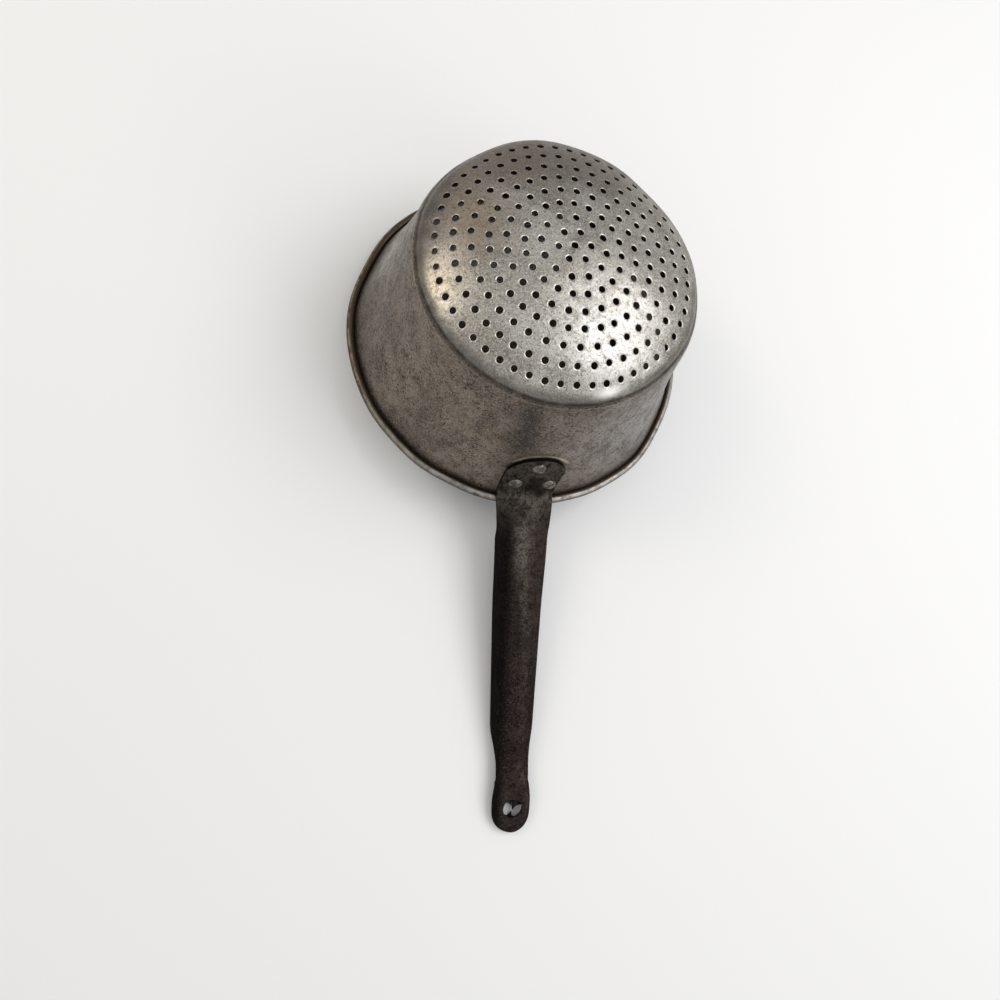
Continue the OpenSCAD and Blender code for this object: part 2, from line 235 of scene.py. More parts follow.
def wobble(theta, s):
    """How far the sheet of the bowl stands off its true shape along its normal, in millimetres."""
    theta, s = np.broadcast_arrays(np.asarray(theta, float), np.asarray(s, float))
    on_wall = np.clip((s - ARC_ENDS[1]) / (ARC_ENDS[3] - ARC_ENDS[1]), 0, 1)
    off = on_wall * (0.28 * np.sin(2 * theta + 0.7) + 0.16 * np.sin(5 * theta + s / 23) + 0.1 * np.sin(9 * theta - s / 11))
    off = off + (1 - on_wall) * 0.12 * np.sin(3 * theta + s / 9)
    wall_start, wall_end = ARC_ENDS[3], ARC_ENDS[4]
    for azimuth, share, width, depth in WALL_DENTS:
        off = off + bump_field(theta, s, (azimuth, wall_start + share * (wall_end - wall_start)), width, depth)
    off = off - 0.2 * np.exp(-(((s - CREASE_S) / 0.9) ** 2)) + 0.1 * np.exp(-(((s - CREASE_S - 2.2) / 0.8) ** 2))
    for azimuth, width, depth in SHOULDER_DENTS:
        off = off + bump_field(theta, s, (azimuth, (ARC_ENDS[2] + ARC_ENDS[3]) / 2), width, depth)
    for azimuth, at_s, width, depth in DOME_DENTS:
        off = off + bump_field(theta, s, (azimuth, at_s), width, depth)
    away = (np.degrees(theta) - HANDLE_AZIMUTH + 180) % 360 - 180
    flange = np.exp(-((away / 17) ** 4)) * (1 / (1 + np.exp(-(s - (wall_end - 42)) / 4)))
    return off * (1 - flange)


def bowl_points(theta, s, out):
    """Points of the bowl's sheet, at a distance out from its middle towards its outer face."""
    theta, s, out = np.broadcast_arrays(theta, s, out)
    rz = section(s.ravel())
    off = (out + wobble(theta, np.minimum(s, ARC_ENDS[4]))).ravel()
    bead = s.ravel() > ARC_ENDS[4]
    foot = section(np.array([ARC_ENDS[4]]))[0, 2:]
    lift = (off - out.ravel())[:, None]
    rz_moved = rz[:, :2] + rz[:, 2:] * np.where(bead, out.ravel(), off)[:, None] + np.where(bead[:, None], foot * lift, 0)
    t = theta.ravel()
    return np.column_stack([rz_moved[:, 0] * np.cos(t), rz_moved[:, 0] * np.sin(t), rz_moved[:, 1]])


def new_object(name, points, faces, smooth=True):
    mesh = bpy.data.meshes.new(name)
    mesh.from_pydata([tuple(p) for p in points], [], [tuple(int(i) for i in f) for f in faces])
    mesh.validate()
    mesh.polygons.foreach_set("use_smooth", [smooth] * len(mesh.polygons))
    mesh.update()
    made = bpy.data.objects.new(name, mesh)
    bpy.context.scene.collection.objects.link(made)
    return made


def set_attribute(obj, name, values):
    obj.data.attributes.new(name, "FLOAT", "POINT").data.foreach_set("value", np.asarray(values, np.float32))


COLUMNS = 384
HOLE_SIDES = 26
# Rings of points round each hole, as distances from its edge, and how far the punch has pulled the sheet in there
HOLE_STEPS = [0.0, 0.13, 0.3, 0.52, 0.85]
HOLE_DIP = [0.17, 0.1, 0.035, 0.0, 0.0]
FILL_PITCH = 1.7


def hole_centres():
    """Polar places (distance along the sheet, azimuth) and radii of the holes, with the small errors of a hand press."""
    rng = np.random.default_rng(SEED)
    places = [(0.0, 0.0)]
    for ring, (n, turn) in enumerate(zip(RING_COUNTS, RING_TURNS), start=1):
        r = ring * hole_pitch
        if r < crown_edge_r:
            s = math.asin(r / crown_r) * crown_r
        else:
            s = ARC_ENDS[1] + (math.asin((r - skirt_c[0]) / skirt_r) - math.radians(CROWN_SLOPE)) * skirt_r
        places += [(s, math.radians(turn + k * 360 / n)) for k in range(n)]
    places = np.array(places)
    places[:, 0] += rng.normal(0, 0.12, len(places)) * (places[:, 0] > 0)
    reach = np.maximum(places[:, 0], 5)
    places[:, 1] += rng.normal(0, 0.14, len(places)) / reach
    radii = HOLE_D / 2 * (1 + rng.normal(0, 0.035, len(places)))
    return places, radii


def hole_loop(place, radius, sides, turn):
    """Points round a hole as flat polar coordinates [distance along the sheet, azimuth]."""
    s, azimuth = place
    angle = turn + np.arange(sides) * 2 * math.pi / sides
    u = radius * np.cos(angle)
    v = radius * np.sin(angle)
    if s < 1:
        return np.column_stack([np.hypot(u, v), np.arctan2(v, u)])
    around = section(np.array([s]))[0, 0]
    return np.column_stack([s + u, azimuth + v / around])


def dome_net():
    """Flat net of the dome: points [s, azimuth], ring and hole of each, triangles, radii of the holes."""
    places, radii = hole_centres()
    points, step, hole = [], [], []
    for index, (place_, radius) in enumerate(zip(places, radii)):
        for k, away in enumerate(HOLE_STEPS):
            loop = hole_loop(place_, radius + away, HOLE_SIDES, 0.5 * k * 2 * math.pi / HOLE_SIDES)
            points.append(loop)
            step += [k] * HOLE_SIDES
            hole += [index] * HOLE_SIDES
    rim = np.column_stack([np.full(COLUMNS, DOME_END), np.arange(COLUMNS) * 2 * math.pi / COLUMNS])
    flat_holes = places[:, :1] * np.column_stack([np.cos(places[:, 1]), np.sin(places[:, 1])])
    fill = []
    rows = int(DOME_END / FILL_PITCH)
    for ring in range(1, rows):
        s = ring * FILL_PITCH
        n = max(6, int(2 * math.pi * s / FILL_PITCH))
        azimuth = (np.arange(n) + 0.5 * (ring % 2)) * 2 * math.pi / n
        flat = s * np.column_stack([np.cos(azimuth), np.sin(azimuth)])
        gap = np.linalg.norm(flat[:, None, :] - flat_holes[None], axis=2).min(1)
        keep = gap > HOLE_D / 2 + HOLE_STEPS[-1] + 0.55
        fill.append(np.column_stack([np.full(n, s), azimuth])[keep & (s < DOME_END - 0.8)])
    fill = np.vstack(fill)
    step += [-1] * (len(rim) + len(fill))
    hole += [-1] * (len(rim) + len(fill))
    points = np.vstack(points + [rim, fill])
    flat = points[:, :1] * np.column_stack([np.cos(points[:, 1]), np.sin(points[:, 1])])
    result = delaunay_2d_cdt([Vector(p) for p in flat], [], [], 0, 1e-6)
    origins = result[3]
    first = [o[0] for o in origins]
    step, hole = np.array(step), np.array(hole)
    triangles = []
    for face in result[2]:
        a, b, c = (first[i] for i in face)
        punched = step[a] == 0 and step[b] == 0 and step[c] == 0 and hole[a] == hole[b] == hole[c]
        if not punched:
            triangles.append((a, b, c))
    return points, step, hole, triangles, radii


WALL_ROWS = 46
SHOULDER_ROWS = 22
BEAD_ROWS = 30


def build_bowl():
    """The perforated dome, shoulder, wall and rolled rim as one sheet with two faces."""
    net, step, hole, triangles, radii = dome_net()
    dip = np.where(step >= 0, np.array(HOLE_DIP)[np.maximum(step, 0)], 0)
    rim_first = len(radii) * len(HOLE_STEPS) * HOLE_SIDES
    rows = np.concatenate(
        [
            np.linspace(ARC_ENDS[2], ARC_ENDS[3], SHOULDER_ROWS + 1)[1:],
            np.linspace(ARC_ENDS[3], ARC_ENDS[4], WALL_ROWS + 1)[1:],
            np.linspace(ARC_ENDS[4], ARC_ENDS[5], BEAD_ROWS + 1)[1:],
        ]
    )
    azimuths = np.arange(COLUMNS) * 2 * math.pi / COLUMNS
    grid_s, grid_t = np.meshgrid(rows, azimuths, indexing="ij")
    s_all = np.concatenate([net[:, 0], grid_s.ravel()])
    t_all = np.concatenate([net[:, 1], grid_t.ravel()])
    dip = np.concatenate([dip, np.zeros(grid_s.size)])
    outer = bowl_points(t_all, s_all, SHEET_T / 2 - dip)
    inner = bowl_points(t_all, s_all, -SHEET_T / 2 - 0.5 * dip)
    count = len(outer)

    def row_index(row, column):
        column = column % COLUMNS
        if row < 0:
            return rim_first + column
        return len(net) + row * COLUMNS + column

    faces, inside, inside_finish = [], [], []
    for a, b, c in triangles:
        faces.append((a, b, c))
        inside.append((count + a, count + c, count + b))
        inside_finish.append(1)
    wall_last_row = SHOULDER_ROWS + WALL_ROWS - 1
    for row in range(-1, len(rows) - 1):
        for column in range(COLUMNS):
            a, b = row_index(row, column), row_index(row, column + 1)
            c, d = row_index(row + 1, column + 1), row_index(row + 1, column)
            faces.append((a, d, c, b))
            inside.append((count + a, count + b, count + c, count + d))
            # The rim is rolled outwards, so the sheet's inner face is the one that shows there
            inside_finish.append(0 if row >= wall_last_row else 1)
    edges = []
    for column in range(COLUMNS):
        a, b = row_index(len(rows) - 1, column), row_index(len(rows) - 1, column + 1)
        edges.append((a, count + a, count + b, b))
    # Walls of the holes, with a rounded lip at each face
    extra, extra_faces = [], []
    base = 2 * count
    lip = 0.07
    for index in range(len(radii)):
        first = index * len(HOLE_STEPS) * HOLE_SIDES
        loop = np.arange(first, first + HOLE_SIDES)
        centre = (outer[loop].mean(0) + inner[loop].mean(0)) / 2
        across = outer[loop] - outer[loop].mean(0)
        across /= np.linalg.norm(across, axis=1)[:, None]
        through = inner[loop] - outer[loop]
        top = outer[loop] + through * 0.14 - across * lip
        bottom = inner[loop] - through * 0.14 - across * lip
        extra += [top, bottom]
        t0 = base + len(extra_faces) // (3 * HOLE_SIDES) * 2 * HOLE_SIDES
        for k in range(HOLE_SIDES):
            n = (k + 1) % HOLE_SIDES
            a, b = first + k, first + n
            extra_faces.append((a, b, t0 + n, t0 + k))
            extra_faces.append((t0 + k, t0 + n, t0 + HOLE_SIDES + n, t0 + HOLE_SIDES + k))
            extra_faces.append((t0 + HOLE_SIDES + k, t0 + HOLE_SIDES + n, count + b, count + a))
    points = np.vstack([outer, inner] + extra)
    bowl = new_object("bowl_sheet", place(points), faces + inside + edges + extra_faces)
    mesh = bowl.data
    edge_mask = np.zeros(len(points))
    near = np.concatenate([np.exp(-np.array(HOLE_STEPS)[np.maximum(step, 0)] / 0.35) * (step >= 0), np.zeros(grid_s.size)])
    edge_mask[:count] = near
    edge_mask[count : 2 * count] = near
    edge_mask[2 * count :] = 3
    set_attribute(bowl, "hole_edge", edge_mask)
    along = np.concatenate([s_all, s_all, np.full(len(points) - 2 * count, 20.0)])
    set_attribute(bowl, "along", along)
    turn_out(mesh)
    sides = [0] * len(faces) + inside_finish + [0] * (len(edges) + len(extra_faces))
    return bowl, sides


def turn_out(mesh):
    """Turns all faces to point out of the sheet."""
    bm = bmesh.new()
    bm.from_mesh(mesh)
    bmesh.ops.recalc_face_normals(bm, faces=bm.faces)
    bm.to_mesh(mesh)
    bm.free()
    mesh.update()


# The handle: one sheet formed into flange, bend, half-round grip, neck and folded tip
FLAT_MIN = 0.6
LIP_MIN = 0.4
ROOT_WRAP = 14.0
TURN_START = 2.0
FLAT_STEPS = 2
ROUND_STEPS = 14
LIP_STEPS = 2
EDGE_ROUND = 0.35
flange_out = SHEET_T / 2 + FLANGE_GAP + HANDLE_T / 2
# Radius of the flange's rounded top
FLANGE_TOP_R = (FLANGE_HALF_W**2 + FLANGE_CROWN**2) / 2 / FLANGE_CROWN
bend_angle = wall_normal(BEND_HEIGHT, flange_out)
bend_start = wall_point(bend_angle, flange_out)
bend_c = bend_start + polar(BEND_R, bend_angle)
bend_end = bend_c - polar(BEND_R, 90 - HANDLE_FALL)
fold_end = HANDLE_LENGTH - FOLD_BACK
neck_s = HANDLE_LENGTH - NECK_BACK
tip_s = HANDLE_LENGTH - TIP_OVAL
hang_s = HANDLE_LENGTH - HANG_BACK
tip_r = TIP_DEPTH / 2
fold_start = neck_s + 3
fold_full = tip_s - 6
fold_tight = fold_start + 0.6 * (fold_full - fold_start)


def mix(a, b, t):
    return a + (b - a) * t


def ramp(s, a, b):
    return min(1.0, max(0.0, (s - a) / (b - a)))


def ease(s, a, b):
    t = ramp(s, a, b)
    return t * t * (3 - 2 * t)


def wrap(s):
    """Half turn of the sheet's section: open at the bend, half round along the grip, closed at the tip."""
    if s < fold_end:
        return mix(ROOT_WRAP, 90, ease(s, TURN_START, TURN_DOWN))
    if s < fold_start:
        return mix(90, NECK_WRAP, ramp(s, fold_end, neck_s))
    return mix(NECK_WRAP, 180, ease(s, fold_start, fold_full))


def oval(s):
    return math.sqrt(1 - ramp(s, tip_s, HANDLE_LENGTH) ** 2.8)


def half_w(s):
    grip = mix(ROOT_HALF_W, GRIP_HALF_W, s / fold_end)
    body = mix(grip, NECK_HALF_W, ease(s, fold_end - 6, neck_s))
    return mix(body, TIP_HALF_W, ease(s, fold_start, tip_s - 3)) * oval(s)


def half_section(flat, r, turn, edge):
    """Half of a section as [across, down]: the flat middle, the round side and the straight lip."""
    points = [[flat * k / FLAT_STEPS, 0.0] for k in range(FLAT_STEPS)]
    for k in range(ROUND_STEPS + 1):
        a = math.radians(turn * k / ROUND_STEPS)
        points.append([flat + r * math.sin(a), r * (1 - math.cos(a))])
    last = points[-1]
    for k in range(1, LIP_STEPS + 1):
        away = (edge - EDGE_ROUND) * k / LIP_STEPS
        points.append([last[0] + away * cos_d(turn), last[1] + away * sin_d(turn)])
    return np.array(points)


def both_halves(left, right):
    return np.vstack([left[:0:-1] * [-1, 1], right])


def mirrored(half):
    return both_halves(half, half)


def placed(across, at, down):
    return np.column_stack(
        [across[:, 0], -(at[0] + across[:, 1] * cos_d(down)), at[1] + across[:, 1] * sin_d(down)]
    )


def on_wall(half_width, degrees):
    """A section of the flange, which lies on the wall as an arc about the bowl's axis."""
    at = wall_point(degrees, flange_out)
    turn = math.degrees(math.asin((half_width - FLAT_MIN - LIP_MIN) / at[0]))
    across = mirrored(half_section(FLAT_MIN, at[0], turn, LIP_MIN))
    up = ramp(bend_angle - degrees, 0, math.degrees(FLANGE_RISE / (wall_r - flange_out)))
    skew = mix(BEND_SKEW, FLANGE_SKEW, up)
    azimuth = np.arcsin(across[:, 0] / at[0]) + skew / at[0]
    across[:, 0] = at[0] * np.sin(azimuth)
    across[:, 1] = at[0] - at[0] * np.cos(azimuth)
    return placed(across, at, 180)


def flange_angle(up):
    return bend_angle - math.degrees(up / (wall_r - flange_out))


def bend_section(t):
    """In the bend the sections swing from lying on the wall to lying across the handle."""
    wall_turn = math.degrees(math.asin((ROOT_HALF_W - FLAT_MIN - LIP_MIN) / bend_start[0]))
    turn = mix(wall_turn, ROOT_WRAP, t)
    r = (ROOT_HALF_W - FLAT_MIN - LIP_MIN) / sin_d(turn)
    at = bend_c - polar(BEND_R, mix(bend_angle, 90 - HANDLE_FALL, t))
    across = mirrored(half_section(FLAT_MIN, r, turn, LIP_MIN)) + [BEND_SKEW, 0]
    return placed(across, at, mix(180, 270 - HANDLE_FALL, t))


def grip_section(s):
    """Along the grip, neck and tip the sections stand square to the handle."""
    turned = sin_d(min(wrap(s), 90))
    mid_w = half_w(s) - HANDLE_T / 2 * turned
    closed = tip_r * mix(0.5, 1, oval(s))
    side = mix((mid_w - FLAT_MIN) / turned, closed, ease(s, neck_s, fold_tight))
    flat = mid_w - side * turned
    folded = ease(s, mix(fold_start, fold_full, 0.3), fold_full)
    lip = mix(LIP_MIN, flat - SEAM_GAP / 2, folded)
    seam = min(SEAM_SIDE, flat * 0.5) * folded
    left, right = (half_section(flat, side, wrap(s), lip + longer) for longer in (seam, -seam))
    sink = tip_r - side if s > tip_s else 0.0
    at = bend_end + polar(s, -HANDLE_FALL) - polar(sink, 90 - HANDLE_FALL)
    shift = BEND_SKEW * (1 - ease(s, 0, BEND_SKEW_END)) + TIP_SIDE * (1 - oval(s))
    shift += GRIP_SIDE * ease(s, *GRIP_SIDE_FROM) * (1 - ease(s, *GRIP_SIDE_TO))
    return placed(both_halves(left, right) + [shift, 0], at, 270 - HANDLE_FALL)


def handle_stations():
    """Middle of the handle's sheet as a net of sections, from the flange's top to the end of the tip."""
    top_turn = math.asin(FLANGE_HALF_W / FLANGE_TOP_R)
    corner_up = FLANGE_RISE - FLANGE_CROWN
    rows = []
    for turn in np.linspace(0.09, top_turn, 22):
        up = FLANGE_RISE - FLANGE_TOP_R * (1 - math.cos(turn))
        rows.append(on_wall(FLANGE_TOP_R * math.sin(turn), flange_angle(up)))
    for share in np.linspace(1, 0, 12)[1:]:
        rows.append(on_wall(mix(ROOT_HALF_W, FLANGE_HALF_W, share), flange_angle(corner_up * share)))
    rows += [bend_section(t) for t in np.linspace(0, 1, 10)[1:]]
    for start, end, steps in [
        (0, TURN_DOWN, 26),
        (TURN_DOWN, fold_end - 6, 34),
        (fold_end - 6, neck_s, 20),
        (neck_s, fold_full, 22),
        (fold_full, tip_s, 8),
    ]:
        rows += [grip_section(s) for s in np.linspace(start, end, steps + 1)[1:]]
    rows += [grip_section(tip_s + TIP_OVAL * sin_d(a)) for a in np.linspace(0, 80, 15)[1:]]
    return np.array(rows)


def sheet_solid(net, thickness, edge_round):
    """A sheet with two faces and rounded edges round a net of points on its middle."""
    rows, columns = net.shape[:2]
    along = np.gradient(net, axis=0)
    across = np.gradient(net, axis=1)
    normal = np.cross(along, across)
    normal /= np.linalg.norm(normal, axis=2)[:, :, None]
    half = thickness / 2
    points = [(net + half * normal).reshape(-1, 3), (net - half * normal).reshape(-1, 3)]
    count = rows * columns
    index = np.arange(count).reshape(rows, columns)
    faces = []
    a, b = index[:-1, :-1].ravel(), index[:-1, 1:].ravel()
    c, d = index[1:, 1:].ravel(), index[1:, :-1].ravel()
    faces += list(zip(a, b, c, d))
    faces += list(zip(count + a, count + d, count + c, count + b))
    loop = [(0, j) for j in range(columns - 1)] + [(i, columns - 1) for i in range(rows - 1)]
    loop += [(rows - 1, j) for j in range(columns - 1, 0, -1)] + [(i, 0) for i in range(rows - 1, 0, -1)]
    steps = 4
    strips = []
    for n, (i, j) in enumerate(loop):
        before, after = net[loop[n - 1]], net[loop[(n + 1) % len(loop)]]
        out = np.cross(after - before, normal[i, j])
        out /= np.linalg.norm(out)
        inward = net[min(max(i, 1), rows - 2), min(max(j, 1), columns - 2)] - net[i, j]
        if np.dot(out, inward) > 0:
            out = -out
        turns = np.pi * np.arange(1, steps) / steps
        strips.append(
            [net[i, j] + half * math.cos(t) * normal[i, j] + edge_round * math.sin(t) * out for t in turns]
        )
    strip_first = 2 * count
    points.append(np.array(strips).reshape(-1, 3))

    def around(n, k):
        i, j = loop[n % len(loop)]
        if k == 0:
            return index[i, j]
        if k == steps:
            return count + index[i, j]
        return strip_first + (n % len(loop)) * (steps - 1) + k - 1

    for n in range(len(loop)):
        for k in range(steps):
            faces.append((around(n, k), around(n + 1, k), around(n + 1, k + 1), around(n, k + 1)))
    return np.vstack(points), faces


def punch(target, at, axis, d, length):
    """Cuts a round hole of diameter d through a piece: at is the hole's middle, in the bowl's frame."""
    bm = bmesh.new()
    bmesh.ops.create_cone(
        bm, cap_ends=True, segments=56, radius1=d / 2 * MM, radius2=d / 2 * MM, depth=length * MM
    )
    mesh = bpy.data.meshes.new("punch")
    bm.to_mesh(mesh)
    bm.free()
    tool = bpy.data.objects.new("punch", mesh)
    bpy.context.scene.collection.objects.link(tool)
    ends = place([at, np.array(at) + np.array(axis)])
    tool.matrix_world = Matrix.Translation(Vector(ends[0])) @ Vector(ends[1] - ends[0]).to_track_quat("Z", "X").to_matrix().to_4x4()
    cut = target.modifiers.new("punch", "BOOLEAN")
    cut.operation = "DIFFERENCE"
    cut.solver = "EXACT"
    cut.object = tool
    apply_modifiers(target)
    bpy.data.objects.remove(tool)


def apply_modifiers(obj):
    """Bakes an object's modifiers into its mesh."""
    bpy.context.view_layer.update()
    evaluated = obj.evaluated_get(bpy.context.evaluated_depsgraph_get())
    mesh = bpy.data.meshes.new_from_object(evaluated)
    obj.modifiers.clear()
    obj.data = mesh


def soften_edges(obj, degrees, width):
    """Rounds the edges sharper than an angle, as filing and wear do, and leaves the rest smooth."""
    bm = bmesh.new()
    bm.from_mesh(obj.data)
    sharp = [e for e in bm.edges if e.is_manifold and e.calc_face_angle(0) > math.radians(degrees)]
    bmesh.ops.bevel(bm, geom=sharp, offset=width * MM, segments=2, profile=0.5, affect="EDGES", clamp_overlap=True)
    for face in bm.faces:
        face.smooth = True
    bm.to_mesh(obj.data)
    bm.free()


def build_handle():
    points, faces = sheet_solid(handle_stations(), HANDLE_T, EDGE_ROUND)
    handle = new_object("handle_sheet", place(points), faces)
    sections = handle_stations().shape[0] * handle_stations().shape[1]
    set_attribute(handle, "cut_edge", np.arange(len(points)) >= 2 * sections)
    turn_out(handle.data)
    tip_axis = np.array([0, -sin_d(HANDLE_FALL), cos_d(HANDLE_FALL)])

    def on_handle(s, side, depth):
        at = bend_end + polar(s, -HANDLE_FALL)
        return np.array([side, -at[0], at[1]]) + depth * tip_axis

    punch(handle, on_handle(hang_s, HANG_SIDE, 2 * HANDLE_T - tip_r), tip_axis, HANG_D, 2 * (2 * HANDLE_T))
    fold_side = SEAM_GAP / 2 - SEAM_BITE + FOLD_HOLE_D / 2
    for side, further in zip((-1, 1), FOLD_HOLE_ON):
        at = on_handle(hang_s + further, SEAM_SIDE + side * fold_side, -TIP_DEPTH - HANDLE_T / 2)
        punch(handle, at, tip_axis, FOLD_HOLE_D, 2 * HANDLE_T + tip_r)
    soften_edges(handle, 50, 0.28)
    return handle


def build_wire():
    """The wire in the rim, which follows the rim's wobble."""
    sides, r = 12, WIRE_R
    azimuths = np.arange(COLUMNS) * 2 * math.pi / COLUMNS
    foot = section(np.array([ARC_ENDS[4]]))[0, 2:]
    lift = wobble(azimuths, np.full(COLUMNS, ARC_ENDS[4]))
    points = []
    for k in range(sides):
        a = 2 * math.pi * k / sides
        radius = RIM_RADIUS + r * math.cos(a) + foot[0] * lift
        height = r * math.sin(a) + foot[1] * lift
        points.append(np.column_stack([radius * np.cos(azimuths), radius * np.sin(azimuths), height]))
    faces = []
    for k in range(sides):
        for c in range(COLUMNS):
            n, d = (k + 1) % sides, (c + 1) % COLUMNS
            faces.append((k * COLUMNS + c, k * COLUMNS + d, n * COLUMNS + d, n * COLUMNS + c))
    wire = new_object("wire_in_rim", place(np.vstack(points)), faces)
    turn_out(wire.data)
    return wire


def rivet_outline():
    """Half section of a rivet as [radius, height] above the middle of the bowl's sheet, head first."""
    head_level = SHEET_T / 2 + FLANGE_GAP + HANDLE_T
    tail_level = SHEET_T / 2 + RIVET_TAIL_D**2 / 8 / RIM_RADIUS * 1.25
    head_r, tail_r = RIVET_HEAD_D / 2, RIVET_TAIL_D / 2
    points = []
    for k in range(9):
        share = math.sin(math.pi / 2 * k / 8)
        points.append([head_r * share, head_level + RIVET_HEAD_H * (1 - share**2.2) ** 0.85])
    points += [[head_r * 1.0, head_level - 0.12], [2.2, head_level - 0.12], [2.0, head_level - 0.4]]
    points += [[2.0, -tail_level + 0.3], [2.2, -tail_level + 0.05]]
    for k in range(8, -1, -1):
        share = math.sin(math.pi / 2 * k / 8)
        points.append([tail_r * share, -tail_level - RIVET_TAIL_H * (1 - share**3) ** 0.8])
    return np.array(points)


def build_rivet(name, height, side, seed):
    """A rivet square to the wall, its head a little out of round from the hammer."""
    rng = np.random.default_rng(seed)
    degrees = wall_normal(height, 0)
    at = wall_point(degrees, 0)
    azimuth = math.radians(HANDLE_AZIMUTH) + math.asin(side / at[0])
    around = np.array([-math.sin(azimuth), math.cos(azimuth), 0])
    outward = np.array([cos_d(degrees) * math.cos(azimuth), cos_d(degrees) * math.sin(azimuth), sin_d(degrees)])
    up = np.cross(outward, around)
    origin = np.array([at[0] * math.cos(azimuth), at[0] * math.sin(azimuth), at[1]])
    outline = rivet_outline()
    sides = 40
    lean = rng.uniform(-0.05, 0.05, 2)
    lobes = rng.uniform(0, 2 * math.pi, 3)
    points = []
    for k in range(sides):
        a = 2 * math.pi * k / sides
        round_ = 1 + 0.02 * math.cos(2 * a + lobes[0]) + 0.012 * math.cos(3 * a + lobes[1])
        for r, h in outline:
            spread = r * (round_ if r > 2.3 else 1)
            u, v = spread * math.cos(a), spread * math.sin(a)
            tilt = (lean[0] * u + lean[1] * v) if h > 1 and r < 3.5 else 0
            points.append(origin + around * u + up * v + outward * (h + tilt))
    rows = len(outline)
    faces = []
    for k in range(sides):
        n = (k + 1) % sides
        for i in range(rows - 1):
            faces.append((k * rows + i, n * rows + i, n * rows + i + 1, k * rows + i + 1))
    rivet = new_object(name, place(points), faces)
    bm = bmesh.new()
    bm.from_mesh(rivet.data)
    bmesh.ops.remove_doubles(bm, verts=bm.verts, dist=1e-6)
    bmesh.ops.recalc_face_normals(bm, faces=bm.faces)
    bm.to_mesh(rivet.data)
    bm.free()
    return rivet


# Oval of shade on the floor under the bowl, in millimetres of the row frame
SHADE_MIDDLE = (4.6, 92.0)
SHADE_HALF = (99.5, 93.9)


